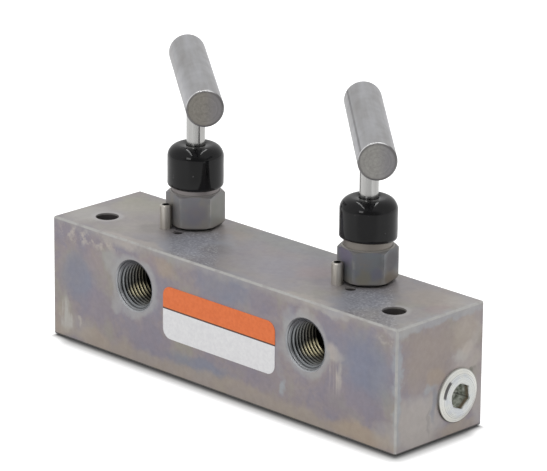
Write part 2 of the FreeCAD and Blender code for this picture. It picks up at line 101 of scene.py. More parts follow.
class Shader:
    """A material or world, with short calls for the nodes that feed it."""

    def __init__(self, owner):
        owner.use_nodes = True
        self.owner = owner
        self.tree = owner.node_tree
        self.surface = self.tree.nodes.get("Principled BSDF")
        self.coordinates = self.node("ShaderNodeTexCoord").outputs
        self.place = self.coordinates["Object"]

    def feed(self, socket, value):
        self.put(self.surface.inputs[socket], value)

    def put(self, socket, value):
        """Link another node's output to a socket, or set the socket's own value."""
        if isinstance(value, bpy.types.NodeSocket):
            self.tree.links.new(value, socket)
        else:
            socket.default_value = value

    def node(self, kind, inputs=None, **settings):
        made = self.tree.nodes.new(kind)
        for setting, value in settings.items():
            setattr(made, setting, value)
        for socket, value in (inputs or {}).items():
            self.put(made.inputs[socket], value)
        return made

    def noise(self, scale, detail=3.0, rough=0.5, vector=None, colour=False):
        inputs = {"Vector": vector or self.place, "Scale": scale, "Detail": detail, "Roughness": rough}
        return self.node("ShaderNodeTexNoise", inputs).outputs["Color" if colour else "Fac"]

    def math(self, operation, result, *others):
        """One node, or a chain of them for more than two values."""
        for other in others or (0.0,):
            result = self.node("ShaderNodeMath", {0: result, 1: other}, operation=operation).outputs[0]
        return result

    def product(self, first, second, *others):
        return self.math("MULTIPLY", first, second, *others)

    def vector(self, operation, first, second=(0, 0, 0)):
        made = self.node("ShaderNodeVectorMath", {0: first, 1: second}, operation=operation)
        return made.outputs["Value" if operation in ("LENGTH", "DOT_PRODUCT") else "Vector"]

    def dot(self, first, second):
        return self.vector("DOT_PRODUCT", first, second)

    def stretch(self, value, low, high, start=0.0, end=1.0, smooth=True):
        """Map low..high to start..end, and no further."""
        inputs = {"Value": value, "From Min": low, "From Max": high, "To Min": start, "To Max": end}
        kind = "SMOOTHSTEP" if smooth else "LINEAR"
        return self.node("ShaderNodeMapRange", inputs, interpolation_type=kind, clamp=True).outputs[0]

    def fade(self, value, low, high, start=1.0):
        """From start at low down to 0 at high."""
        return self.stretch(value, low, high, start, 0.0)

    def ramp(self, value, stops):
        made = self.node("ShaderNodeValToRGB", {0: value})
        elements = made.color_ramp.elements
        while len(elements) < len(stops):
            elements.new(0.5)
        for element, stop in zip(elements, stops):
            element.position, element.color = stop
        return made.outputs[0]

    def cloudy(self, scale, dark, light, **settings):
        """Colour that wanders between two tints."""
        return self.ramp(self.noise(scale, **settings), [(0.32, dark), (0.68, light)])

    def mix(self, share, first, second, kind="MIX"):
        inputs = {0: share, 6: first, 7: second}
        return self.node("ShaderNodeMix", inputs, data_type="RGBA", blend_type=kind).outputs[2]

    def line(self, value, at, core, edge, strength=1.0):
        """A thin line where value equals at: full strength within core of it, fading to 0 at edge."""
        return self.fade(self.math("ABSOLUTE", self.math("SUBTRACT", value, at)), core, edge, strength)

    def split(self, vector=None):
        return self.node("ShaderNodeSeparateXYZ", {0: vector or self.place}).outputs

    def point(self, *values):
        """A vector put together from its X, Y and Z."""
        return self.node("ShaderNodeCombineXYZ", dict(enumerate(values))).outputs[0]

    def height(self):
        return self.split()[2]

    def along(self, stretches):
        """The place, scaled unevenly along X, Y and Z, for streaks."""
        return self.vector("MULTIPLY", self.place, stretches)

    def warped(self, *warps):
        """The place, shaken by noise. Each warp is a noise scale and a reach in millimetres."""
        place = self.place
        for scale, reach in warps:
            shift = self.vector("SUBTRACT", self.noise(scale, colour=True), (0.5, 0.5, 0.5))
            place = self.vector("ADD", place, self.vector("MULTIPLY", shift, (2 * reach * MM,) * 3))
        return place

    def blot(self, centre, size, vector=None, soft=0.45):
        """1 in an oval patch about a point, fading to 0 round it. Sizes are in millimetres."""
        offset = self.vector("SUBTRACT", vector or self.place, mm(centre))
        reach = self.vector("LENGTH", self.vector("DIVIDE", offset, mm(size)))
        return self.fade(reach, 1 - soft, 1 + soft)

    def off_axis(self, centre, inward, vector=None):
        """Distance from the axis through centre that runs inward along X, Y or Z."""
        offset = self.vector("SUBTRACT", vector or self.place, centre)
        across = Vector((1, 1, 1)) - Vector([abs(v) for v in inward])
        return self.vector("LENGTH", self.vector("MULTIPLY", offset, across))

    def depth(self, centre, inward):
        """How far a point lies past centre, measured along inward."""
        return self.dot(self.vector("SUBTRACT", self.place, centre), inward)

    def rings(self, radius, per_metre):
        """Noise that changes only with a radius, as lathe marks do."""
        return self.noise(1.0, vector=self.point(self.product(radius, per_metre)))

    def base(self, colour):
        self.feed("Base Color", colour)

    def paint(self, share, colour, kind="MIX"):
        """Lay a colour over the base colour so far."""
        before = self.surface.inputs["Base Color"].links[0].from_socket
        self.base(self.mix(share, before, colour, kind))

    def bumps(self, height, strength, distance):
        inputs = {"Height": height, "Strength": strength, "Distance": distance * MM}
        before = self.surface.inputs["Normal"]
        if before.is_linked:
            inputs["Normal"] = before.links[0].from_socket
        self.feed("Normal", self.node("ShaderNodeBump", inputs).outputs[0])

    def rough(self, value, low, high):
        self.feed("Roughness", self.stretch(value, 0.3, 0.7, low, high))


def mm(values):
    return [value * MM for value in values]


def material(name, metallic=0.0, specular=0.5):
    shader = Shader(bpy.data.materials.new(name))
    shader.feed("Metallic", metallic)
    shader.feed("Specular IOR Level", specular)
    return shader


# Tints of the block's plating
VIOLET = tint(144, 137, 148)
BLUE = tint(134, 140, 155)
DEEP_BLUE = tint(129, 137, 157)
PINK = tint(164, 150, 151)
TAN = tint(170, 159, 147)
ORANGE = tint(176, 160, 142)
OLIVE = tint(170, 168, 154)
PALE = tint(186, 184, 179)
CREAM = tint(192, 184, 176)
MIST = tint(166, 170, 175)
BROWN = tint(160, 149, 143)
WARM_GREY = tint(180, 174, 170)
NEUTRAL = tint(170, 168, 165)
COOL = tint(164, 166, 175)
DIM_GREY = tint(142, 138, 137)
STEEL = tint(146, 149, 150)
PLUG_SHADE = tint(108, 110, 102)

# Stains on the front face: X and Z of the centre, half sizes, tint, strength, and kind if not a cloud
FRONT_STAINS = [
    ((-68, 24), (8, 8), BLUE, 0.6),
    ((-58, 16), (7, 6), VIOLET, 0.6),
    ((-60, 31), (5, 4), PINK, 0.35),
    ((-64, 39), (15, 3.5), CREAM, 0.75, "fleck"),
    ((-76, 6), (5, 7), TAN, 0.6),
    ((-61, 3.5), (8, 3), ORANGE, 0.5),
    ((-74.2, 8.5), (2.2, 7), PALE, 0.95, "streak"),
    ((-74, 6), (1.6, 4), PALE, 0.7),
    ((-67.8, 8), (0.8, 1.8), CREAM, 0.6),
    ((-68, 5), (8, 4), PALE, 0.25),
    ((-25, 37), (5, 3), ORANGE, 0.55),
    ((-32, 37.5), (4, 3), PINK, 0.35),
    ((4, 37.5), (15, 4.5), BLUE, 0.5),
    ((22, 36.5), (6, 5), VIOLET, 0.5),
    ((-31, 10), (8, 5), VIOLET, 0.5),
    ((-9, 7), (15, 3), BLUE, 0.7),
    ((16, 12), (10, 5), VIOLET, 0.5),
    ((-4, 2.5), (80, 3.4), TAN, 0.7),
    ((29, 19), (1.0, 9), MIST, 0.2),
    ((29.4, 10), (1.2, 2.4), MIST, 0.85),
    ((33, 33.5), (3, 4.5), MIST, 0.5),
    ((39, 37.6), (2.6, 2.2), PALE, 0.5),
    ((53.3, 27.5), (3.4, 3.2), CREAM, 0.7),
    ((54.0, 21), (2.8, 7.5), CREAM, 1.0, "streak"),
    ((66, 28), (11, 10), DEEP_BLUE, 0.62),
    ((60, 13), (15, 6), VIOLET, 0.5),
    ((73, 22), (5, 7), BLUE, 0.35),
    ((66, 3), (14, 3.4), ORANGE, 0.75),
    ((76, 6), (5, 5), PALE, 0.3),
    ((52, 41.8), (10, 1.4), CREAM, 0.5),
    ((75, 39.5), (5, 3), CREAM, 0.6, "fleck"),
]

# Stains on the plugged end, with a painted highlight and a painted shade: Y and Z of the centre, and
# the rest as above
END_STAINS = [
    ((-10, 8.5), (12, 10), WARM_GREY, 0.9),
    ((-5.5, 30), (12.5, 10.5), BROWN, 0.9),
    ((12, 33.5), (7, 7), TAN, 0.65),
    ((14, 36), (7, 6), CREAM, 0.25),
    ((-2, 21.5), (4, 3), ORANGE, 0.45),
    ((13, 24.5), (7, 5), CREAM, 0.45),
    ((18, 33), (1.6, 3.4), WARM_GREY, 0.4),
    ((16, 30.5), (1.8, 2.4), WARM_GREY, 0.5),
    ((13.6, 28.4), (2.2, 1.8), CREAM, 0.45),
    ((9.6, 26.4), (3.4, 1.7), PALE, 0.5),
    # Painted shade just outside the plug's upper right
    ((14.9, 19.9), (1.6, 1.3), PLUG_SHADE, 0.7),
    ((0, 41.6), (24, 1.6), COOL, 0.7),
    # Painted highlight down the front corner of the end
    ((-19.4, 24), (1.5, 20), MIST, 0.8),
    ((-4.9, 8), (0.8, 5), DIM_GREY, 0.4),
    ((-5.5, 18.9), (3.4, 1.4), MIST, 0.6),
    ((-2.6, 13), (1.3, 6), BLUE, 0.5),
    ((8, 2), (10, 2.4), TAN, 0.7),
    ((18, 10), (3, 9), WARM_GREY, 0.6),
]

# Stains on the top, with patches of painted shade and reflection: X and Y of the centre, and the rest
# as above
TOP_STAINS = [
    ((0, 0), (120, 40), NEUTRAL, 0.45),
    ((-68, 9), (10, 9), OLIVE, 0.7),
    ((-74, -10), (7, 9), PALE, 0.6),
    ((-50, -8), (8, 8), WARM_GREY, 0.5),
    # Cool patch on the left bonnet's painted reflection, as the one at (53, -8) is on the right's
    ((-24, -8), (13, 12), COOL, 0.9),
    ((-22, 11), (7, 4), TAN, 0.5),
    ((-62, 2), (14, 9), WARM_GREY, 0.35),
    # Two patches of painted shade: beside the left bonnet and lock pin, and in the left bonnet's
    # reflection
    ((-46, -5), (5, 5), DIM_GREY, 0.4),
    ((-16, -6), (6, 5), DIM_GREY, 0.75),
    ((-1, 16), (23, 6), STEEL, 0.6),
    ((8, -4), (12, 9), COOL, 0.3),
    ((10, 0), (24, 14), VIOLET, 0.3),
    ((23, 1.5), (6, 6), PINK, 0.6),
    ((32, -4), (4, 4), VIOLET, 0.4),
    ((53, -8), (9, 11), COOL, 0.9),
    ((68, 10), (10, 8), TAN, 0.6),
    ((76, 3), (3, 5), PINK, 0.6),
    ((72, -15), (12, 6), PALE, 0.4),
    ((76, 15), (6, 6), PALE, 0.35),
    ((-42, -18.5), (14, 2), CREAM, 0.5),
    ((40, -18.5), (10, 2.2), CREAM, 0.4),
]

# Half thickness of a stain across its face
STAIN_SKIN = 3.0
# The stained faces: the axis square to each (0 for X), where it lies along that axis, and its stains
STAINED_FACES = (
    (1, BLOCK_LOW.y / MM, FRONT_STAINS),
    (0, BLOCK_HIGH.x / MM, END_STAINS),
    (2, BLOCK_HIGH.z / MM, TOP_STAINS),
)


def stain_list():
    """Every stain as a centre and half sizes in space, with its tint, strength and kind."""
    stains = []
    for axis, level, rows in STAINED_FACES:
        for spot, half_sizes, colour, strength, *kind in rows:
            centre, size = list(spot), list(half_sizes)
            centre.insert(axis, level)
            size.insert(axis, STAIN_SKIN)
            stains.append((centre, size, colour, strength, kind[0] if kind else "cloud"))
    return stains


def plated_steel():
    """The block: dull plating with violet, blue and tan clouds, flecks, drips, bright edges, painted
    shade and reflections.
    """
    shader = material("plated_steel", metallic=0.55)
    moved = shader.warped((130, 3.5), (420, 1.2))
    clouds = shader.noise(85, detail=4.0, rough=0.6, vector=moved)
    shader.base(shader.ramp(clouds, [
        (0.30, tint(141, 139, 151)), (0.44, tint(147, 140, 148)),
        (0.54, tint(156, 147, 148)), (0.68, tint(159, 154, 146)),
    ]))
    broken = shader.stretch(shader.noise(330, detail=4.0, rough=0.65), 0.46, 0.66)
    runs = shader.stretch(shader.noise(1.0, vector=shader.along((900, 900, 70))), 0.42, 0.62)
    shares = {"cloud": 1.0, "fleck": broken, "streak": runs}
    for centre, size, stain, strength, kind in stain_list():
        shader.paint(shader.product(shader.blot(centre, size, moved), strength, shares[kind]), stain)
    # Paler rings round the ports, with painted shade on the upper countersinks
    port_rings(shader, moved)
    bolt_rings(shader)
    # Painted reflections of the bonnets on the top
    bonnet_reflections(shader)
    # Bright edges, partly painted highlight, and painted shade along the foot
    block_edges(shader)
    # Painted shade inside the ports and holes
    bore_shade(shader)
    grain = shader.ramp(shader.noise(500, detail=4.0, rough=0.65), [(0.3, grey(170)), (0.7, grey(206))])
    shader.paint(0.4, grain, "SOFT_LIGHT")
    shader.rough(shader.noise(90), 0.40, 0.50)
    shader.bumps(shader.noise(1800, rough=0.6), 0.15, 0.02)
    return shader.owner


# Tints of the ports' countersinks, and of the upper part of their walls, which gets less light
COUNTERSINK = tint(180, 182, 185)
ROOF = tint(98, 97, 102)
# The strength of that shade, and how high above a port's axis it begins
ROOF_SHARE = 0.8
ROOF_START = 2 * MM
# The pale ring round a mouth: its strength, and the radius where it has faded out
PORT_RING_SHARE = 0.7
PORT_RING_RADIUS = 12.0 * MM
# Pale blots beside the left outlet: X and Z of the centre, and half sizes
PORT_BLOTS = (((-50.5, 33), (4.6, 4.4)), ((-49.4, 18.8), (3.0, 2.8)))


def port_roof(shader, mouth, full):
    """Share of shade on a port's upper wall, all there from a height of full above its axis."""
    return shader.stretch(shader.height(), mouth.z + ROOF_START, mouth.z + full, 0.0, ROOF_SHARE)


def port_rings(shader, moved):
    """Round each port the plating is paler in an uneven ring, and so is the countersink, with painted
    shade on its upper part.
    """
    halo = grey(172)
    for mouth, inward in PORTS.values():
        radius = shader.off_axis(mouth, inward, moved)
        near = shader.fade(shader.depth(mouth, inward), 0.2 * MM, 0.8 * MM)
        ring = shader.fade(radius, PORT_MOUTH + 0.2 * MM, PORT_RING_RADIUS, PORT_RING_SHARE)
        shader.paint(shader.product(ring, near), halo)
    for (across, up), (wide, high) in PORT_BLOTS:
        centre = (across, BLOCK_LOW.y / MM, up)
        blot = shader.blot(centre, (wide, STAIN_SKIN, high), moved, soft=0.4)
        shader.paint(shader.product(blot, 0.6), halo)
    for mouth, inward in PORTS.values():
        radius, depth = shader.off_axis(mouth, inward), shader.depth(mouth, inward)
        sink = shader.product(
            shader.fade(radius, PORT_MOUTH + 0.1 * MM, PORT_MOUTH + 0.4 * MM),
            shader.stretch(depth, 0.02 * MM, 0.1 * MM),
            shader.fade(depth, PORT_DEPTH, PORT_DEPTH + 1 * MM))
        shade = shader.mix(port_roof(shader, mouth, 7 * MM), COUNTERSINK, ROOF)
        shader.paint(sink, shade)


def on_top(shader):
    """1 on the block's top face, 0 from a little below it."""
    return shader.stretch(shader.height(), BLOCK_HIGH.z - 0.2 * MM, BLOCK_HIGH.z - 0.1 * MM)


def bolt_rings(shader):
    """The plating is a little paler round the bolt holes."""
    moved, top = shader.warped((300, 0.6)), on_top(shader)
    for hole in BOLT_HOLES:
        radius = shader.off_axis(hole, UP, moved)
        ring = shader.fade(radius, BOLT_HOLE_RADIUS + 0.7 * MM, BOLT_HOLE_RADIUS + 2.4 * MM, 0.6)
        shader.paint(shader.product(ring, top), tint(186, 184, 184))


# The bands in front of the bonnets, where a painted reflection of them lies: the way they run, where
# they begin, and their half width
BAND_WAY = Vector((0.7071, -0.7071, 0))
BAND_START = 7.0 * MM
BAND_HALF = 8.0 * MM
# How far a band's sides fade, both inwards and outwards
BAND_FADE = 1.5 * MM
# Specks: where in the noise they start and are full, their tint and strength
BAND_SPECKS = (
    (0.54, 0.66, tint(206, 208, 212), 0.5),
    (0.46, 0.36, tint(118, 118, 128), 0.45),
)


def bonnet_reflections(shader):
    """In front of each bonnet a painted reflection of it makes the top cooler and darker, with fine
    pale and dark specks.
    """
    grain, top = shader.noise(1400, detail=2.0), on_top(shader)
    moved = shader.warped((200, 1.6))
    inner, outer = BAND_HALF - BAND_FADE, BAND_HALF + BAND_FADE
    for side in SIDES:
        offset = shader.vector("SUBTRACT", moved, VALVE[side])
        along = shader.dot(offset, BAND_WAY)
        beside = shader.dot(offset, UP.cross(BAND_WAY))
        band = shader.product(shader.stretch(along, BAND_START, BAND_START + 3 * MM), top,
                              shader.line(beside, 0.0, inner, outer))
        # Painted reflection of the bonnet in the satin top
        shader.paint(shader.product(band, 0.22), tint(142, 142, 152))
        for low, high, shade, share in BAND_SPECKS:
            shader.paint(shader.product(shader.stretch(grain, low, high), band, share), shade)


# Where the wear and painted highlight of the block's edges begin and are full, less than zero inside
# them
EDGE_WEAR_AND_HIGHLIGHT = (-0.75 * MM, -0.52 * MM)


def face_heights(shader):
    """How far each of X, Y and Z is past the block's faces, less than zero inside them."""
    centre, half = (BLOCK_LOW + BLOCK_HIGH) / 2, (BLOCK_HIGH - BLOCK_LOW) / 2
    inside = shader.vector("ABSOLUTE", shader.vector("SUBTRACT", shader.place, centre))
    return shader.split(shader.vector("SUBTRACT", inside, half))


def block_edges(shader):
    """Bright edges all round, partly wear and partly painted highlight, and painted shade along the
    foot.
    """
    depth = face_heights(shader)
    total, least = shader.math("ADD", *depth), shader.math("MINIMUM", *depth)
    # The edges: partly wear, partly a painted highlight
    edge = shader.stretch(shader.math("SUBTRACT", total, least), *EDGE_WEAR_AND_HIGHLIGHT)
    wear_and_highlight = shader.product(edge, shader.stretch(shader.noise(260), 0.35, 0.55, 0.5, 1.0))
    shader.paint(wear_and_highlight, tint(186, 185, 182))
    # Painted shade along the foot, where the block meets the floor
    shader.paint(shader.fade(shader.height(), 0.5 * MM, 0.9 * MM, 0.9), tint(52, 50, 48))


# Reach round a valve's axis that takes in the bonnet's hole and the lock pin's
VALVE_REACH = 13.8 * MM


def bore_shade(shader):
    """Painted shade inside holes: the ports past their threads, and the drilled holes in the top."""
    within = shader.fade(shader.math("MAXIMUM", *face_heights(shader)), -0.5 * MM, -0.1 * MM)
    for mouth, inward in PORTS.values():
        deep = shader.stretch(shader.depth(mouth, inward), PORT_DEPTH - 3 * MM, PORT_DEPTH)
        radius = shader.off_axis(mouth, inward)
        inside = shader.fade(radius, PORT_RADIUS + 0.1 * MM, PORT_RADIUS + 0.5 * MM)
        # Painted shade deep in each port
        shader.paint(shader.product(deep, inside, within), tint(34, 32, 28))
    top = BLOCK_HIGH.z
    sunk = shader.fade(shader.height(), top - 0.9 * MM, top - 0.3 * MM)
    holes = [(VALVE[side], VALVE_REACH) for side in SIDES]
    holes += [(hole, BOLT_HOLE_RADIUS + 0.3 * MM) for hole in BOLT_HOLES]
    for axis, radius in holes:
        inside = shader.fade(shader.off_axis(axis, UP), radius, radius + 0.4 * MM)
        # Painted shade inside the bonnets' holes and the bolt holes
        shader.paint(shader.product(inside, within, sunk, 0.85), tint(62, 58, 58))


# The bonnets: height of the hexagon, where its corners begin to show wear and a painted highlight, and
# the radius of the painted highlight along its ledge
HEX_TOP = 12.1 * MM
HEX_WEAR_AND_HIGHLIGHT = 9.55 * MM
LEDGE_RADIUS = 8.55 * MM
# Tints of the hexagon's sides, by where they lie in the noise, and the two tints of its turned top
BONNET_TINTS = {
    "left": ((0.30, (139, 133, 141)), (0.46, (135, 136, 139)),
             (0.58, (141, 138, 138)), (0.72, (145, 142, 133))),
    "right": ((0.30, (122, 119, 130)), (0.44, (120, 125, 129)),
              (0.58, (124, 124, 126)), (0.72, (133, 127, 113))),
}
BONNET_TOP_TINTS = {
    "left": ((134, 128, 127), (152, 147, 146)),
    "right": ((130, 125, 119), (150, 144, 137)),
}
# Blots: centre from the foot of the valve's axis and half sizes in millimetres, tint and strength
BONNET_BLOTS = {
    "left": (
        ((8.4, 2.3, 7), (4, 5, 6), (136, 136, 128), 0.7),
        ((6.2, -6.2, 6), (3.5, 3.5, 4), (128, 124, 134), 0.6),
    ),
    "right": (
        # This first blot, on the right bonnet's right face, is painted shade
        ((8.6, 2.4, 8), (3.5, 5, 4), (92, 90, 93), 0.9),
        ((8.6, 2.4, 2.6), (3.5, 5, 2), (120, 109, 98), 0.6),
        ((5.1, -7.2, 3.6), (2.4, 2.4, 2.8), (134, 127, 106), 0.5),
        ((8.0, -4.2, 4.6), (2, 2, 2), (116, 115, 132), 0.55),
        ((-2.1, -8.5, 10), (4, 2, 3), (124, 116, 140), 0.7),
    ),
}


def bonnet_clouds(shader, side, height):
    """Clouded plating, warmer towards the foot, with blots."""
    moved = shader.warped((300, 1.5))
    clouds = shader.noise(150, detail=3.0, rough=0.55, vector=moved)
    tints = [(stop, tint(*shade)) for stop, shade in BONNET_TINTS[side]]
    shader.base(shader.ramp(clouds, tints))
    foot = Vector((*VALVE[side].xy, BLOCK_HIGH.z))
    low = shader.fade(height, foot.z + 1 * MM, foot.z + 5 * MM, 0.5)
    shader.paint(low, tint(146, 140, 128))
    for offset, size, shade, strength in BONNET_BLOTS[side]:
        share = shader.product(shader.blot(foot / MM + Vector(offset), size, moved), strength)
        shader.paint(share, tint(*shade))


def dark_steel(side):
    """A bonnet: darker plating, corners with wear and a painted highlight, a turned top and painted
    shade round its foot.
    """
    shader = material(f"{side}_dark_plated_steel", metallic=0.55)
    top, height = BLOCK_HIGH.z, shader.height()
    bonnet_clouds(shader, side, height)
    radius = shader.off_axis(VALVE[side], UP)
    # Corners: wear and a painted highlight
    wear_and_highlight = shader.product(shader.stretch(radius, HEX_WEAR_AND_HIGHLIGHT, HEX_WEAR_AND_HIGHLIGHT + 0.45 * MM),
                          shader.stretch(shader.noise(300), 0.35, 0.65, 0.05, 0.4))
    shader.paint(wear_and_highlight, tint(170, 169, 166))
    rings = shader.rings(radius, 2200.0)
    slope = shader.stretch(shader.split(shader.coordinates["Normal"])[2], 0.25, 0.4)
    neck = shader.stretch(height, top + HEX_TOP, top + HEX_TOP + 0.1 * MM)
    turned = shader.math("MAXIMUM", shader.product(slope, 0.4), neck)
    dark, light = BONNET_TOP_TINTS[side]
    shader.paint(turned, shader.ramp(rings, [(0.35, tint(*dark)), (0.65, tint(*light))]))
    # Painted highlight along the ledge
    ledge = shader.product(shader.line(radius, LEDGE_RADIUS, 0.1 * MM, 0.35 * MM, 0.5), slope)
    shader.paint(ledge, tint(184, 183, 180))
    # Painted shade round the foot
    foot = shader.fade(height, top + 0.9 * MM, top + 1.4 * MM, 0.9)
    shader.paint(foot, tint(32, 31, 32))
    shader.rough(shader.noise(200), 0.40, 0.50)
    shader.bumps(shader.noise(1800, rough=0.6), 0.15, 0.02)
    shader.bumps(shader.product(rings, turned), 0.2, 0.03)
    return shader.owner


# The plug: radius of its key socket, radii of its bevel, which carries a painted highlight, and where
# the painted shadow round its rim begins
PLUG_SOCKET = 4.75 * MM
PLUG_BEVEL = (6.8 * MM, 7.8 * MM)
PLUG_RIM_SHADE = 8.8 * MM
# The dark mark across the bevel: distance from the axis, half width, and its middle's Y and Z in
# millimetres
BEVEL_MARK_RADIUS = 7.3 * MM
BEVEL_MARK_WIDTH = 0.35 * MM
BEVEL_MARK_CENTRE = (1.9, 16.9)


def plug_face(shader, radius, rings):
    """Lathe rings and cool patches, a painted highlight on the bevel, painted shadow round the rim,
    heavier below, and a dark mark.
    """
    shader.base(shader.ramp(rings, [(0.32, tint(210, 212, 209)), (0.6, tint(230, 232, 228))]))
    cool = shader.stretch(shader.noise(170, detail=3.0, rough=0.6), 0.46, 0.62, 0.0, 0.6)
    shader.paint(cool, tint(206, 211, 219))
    # Painted highlight on the bevel
    bevel = shader.stretch(radius, *PLUG_BEVEL, 0.0, 0.6)
    shader.paint(bevel, tint(244, 242, 232))
    # Painted shadow round the rim, heavier below
    low = shader.stretch(shader.height(), PLUG.z - 5 * MM, PLUG.z + 4 * MM, 1.0, 0.5)
    rim = shader.product(shader.stretch(radius, PLUG_RIM_SHADE, PLUG_RIM_SHADE + 0.2 * MM), low)
    shader.paint(rim, tint(84, 80, 74))
    near = shader.blot((PLUG_FACE / MM, *BEVEL_MARK_CENTRE), (2, 3, 3), shader.warped((500, 0.4)), soft=0.15)
    bevel_mark = shader.line(radius, BEVEL_MARK_RADIUS, BEVEL_MARK_WIDTH, BEVEL_MARK_WIDTH + 0.2 * MM, 0.9)
    shader.paint(shader.product(near, bevel_mark), tint(76, 72, 74))


def plug_socket(shader, mouth, depth):
    """The key socket: brown near its mouth, mottled and pale below, with a line of painted shade across
    it where two of its flats meet.
    """
    colour = shader.cloudy(700, tint(136, 142, 128), tint(244, 248, 240), detail=4.0)
    colour = shader.mix(shader.fade(depth, 1.4 * MM, 2.8 * MM, 0.9), colour, tint(104, 88, 64))
    _, across, up = shader.split(shader.vector("SUBTRACT", shader.place, mouth))
    # A line of painted shade where two flats of the socket meet
    slant = shader.math("ADD", up, shader.product(across, 0.35))
    return shader.mix(shader.line(slant, 0.0, 0.1 * MM, 0.4 * MM, 0.7), colour, tint(84, 84, 76))


def plug_zinc():
    """Bright zinc outside, duller and less metallic in the key socket."""
    shader = material("bright_zinc", metallic=0.6)
    mouth, inward = Vector((PLUG_FACE, PLUG.y, PLUG.z)), Vector((-1, 0, 0))
    radius, depth = shader.off_axis(PLUG, inward), shader.depth(mouth, inward)
    rings = shader.rings(radius, 2600.0)
    inside = shader.product(shader.stretch(depth, 0.3 * MM, 0.8 * MM),
                            shader.fade(radius, PLUG_SOCKET, PLUG_SOCKET + 0.1 * MM))
    plug_face(shader, radius, rings)
    shader.paint(inside, plug_socket(shader, mouth, depth))
    shader.feed("Metallic", shader.stretch(inside, 0.0, 1.0, 0.6, 0.15))
    shader.rough(rings, 0.25, 0.35)
    shader.bumps(rings, 0.15, 0.03)
    return shader.owner


# The cross bars: turn from +X in degrees, length, radius, end chamfer, and the tints of their bare ends
BAR_TURN = {"left": -39.25, "right": -42.75}
BAR_LENGTH = 69.85 * MM
BAR_RADIUS = 6.35 * MM
BAR_CHAMFER = 0.6 * MM
BAR_END_TINT = {"left": (147, 143, 136), "right": (162, 160, 156)}
# How far left of its middle the right bar has a dark line drawn along its upper side
BAR_SCRATCH = 5.35 * MM
# The drawn texture: waves per metre along the bar and round it, and their share
BAR_TEXTURE = ((22.0, 500.0, 0.45), (45.0, 190.0, 0.55))


def bar_drawing(shader, place):
    """Fine streaks and broad patches, both drawn out along the bar."""
    layers = []
    for length, width, share in BAR_TEXTURE:
        drawn = shader.vector("MULTIPLY", place, (length, width, width))
        layers.append(shader.product(shader.noise(1.0, detail=4.0, vector=drawn), share))
    shader.base(shader.ramp(shader.math("ADD", *layers), [
        (0.36, tint(161, 159, 159)), (0.5, tint(175, 175, 177)), (0.64, tint(186, 186, 190))]))


def bar_chamfer(shader, beside, up, radius):
    """The chamfer is dull, with a painted highlight in an arc along its upper left."""
    height = shader.math("ADD", up, shader.product(beside, -0.5))
    # Painted highlight along the upper left of the chamfer
    bright = shader.product(shader.stretch(height, 2.5 * MM, 5 * MM),
                            shader.stretch(radius, BAR_RADIUS - 0.38 * MM, BAR_RADIUS - 0.2 * MM),
                            shader.stretch(shader.noise(420), 0.3, 0.55, 0.5, 1.0))
    return shader.mix(bright, tint(122, 120, 120), grey(240))


def bar_end(shader, side, beside, radius):
    """The bare end: mottled, cooler to the right, with turned rings and a dull edge."""
    dark, light = (tint(*(share * level for level in BAR_END_TINT[side])) for share in (0.92, 1.06))
    colour = shader.cloudy(800, dark, light, detail=4.0, rough=0.7)
    cool = shader.stretch(beside, -1 * MM, 4 * MM, 0.0, 0.6)
    colour = shader.mix(cool, colour, tint(140, 138, 144))
    turned = shader.ramp(shader.rings(radius, 1500.0), [(0.35, grey(176)), (0.65, grey(204))])
    colour = shader.mix(0.5, colour, turned, "OVERLAY")
    rim = BAR_RADIUS - BAR_CHAMFER
    edge = shader.stretch(radius, rim - 0.5 * MM, rim, 0.0, 0.6)
    return shader.mix(edge, colour, tint(96, 94, 94))


def bar_steel(side):
    """Satin plating drawn along the bar, a chamfer and a bare turned end."""
    shader = material(f"{side}_bar_steel", metallic=0.85)
    centre, turn = middle(f"{side}_handle_bar"), math.radians(BAR_TURN[side])
    axis = Vector((math.cos(turn), math.sin(turn), 0))
    along, beside, up = (shader.depth(centre, way) for way in (axis, UP.cross(axis), UP))
    radius = shader.vector("LENGTH", shader.point(beside, up))
    bar_drawing(shader, shader.point(along, beside, up))
    if side == "right":
        scratch = shader.product(shader.line(beside, -BAR_SCRATCH, 0.12 * MM, 0.35 * MM, 0.8),
                                 shader.math("GREATER_THAN", up, 0.0))
        shader.paint(scratch, tint(112, 110, 112))
    reach, half = shader.math("ABSOLUTE", along), BAR_LENGTH / 2
    chamfer = shader.stretch(reach, half - BAR_CHAMFER, half - BAR_CHAMFER + 0.1 * MM)
    shader.paint(chamfer, bar_chamfer(shader, beside, up, radius))
    ends = shader.math("GREATER_THAN", reach, half - 0.05 * MM)
    shader.paint(ends, bar_end(shader, side, beside, radius))
    shader.rough(shader.noise(220), 0.32, 0.42)
    shader.bumps(shader.noise(1500, rough=0.6), 0.15, 0.02)
    return shader.owner


def polished_steel():
    """Ground rods, with marks that run round them."""
    shader = material("polished_steel", metallic=1.0)
    marks = shader.noise(1.0, vector=shader.along((900, 900, 60)))
    shader.base(shader.ramp(marks, [(0.3, tint(182, 181, 179)), (0.7, tint(204, 204, 202))]))
    shader.rough(marks, 0.12, 0.18)
    round_axis = shader.node("ShaderNodeTangent", direction_type="RADIAL", axis="Z").outputs[0]
    shader.feed("Tangent", round_axis)
    shader.feed("Anisotropic", 0.8)
    shader.feed("Anisotropic Rotation", 0.25)
    return shader.owner


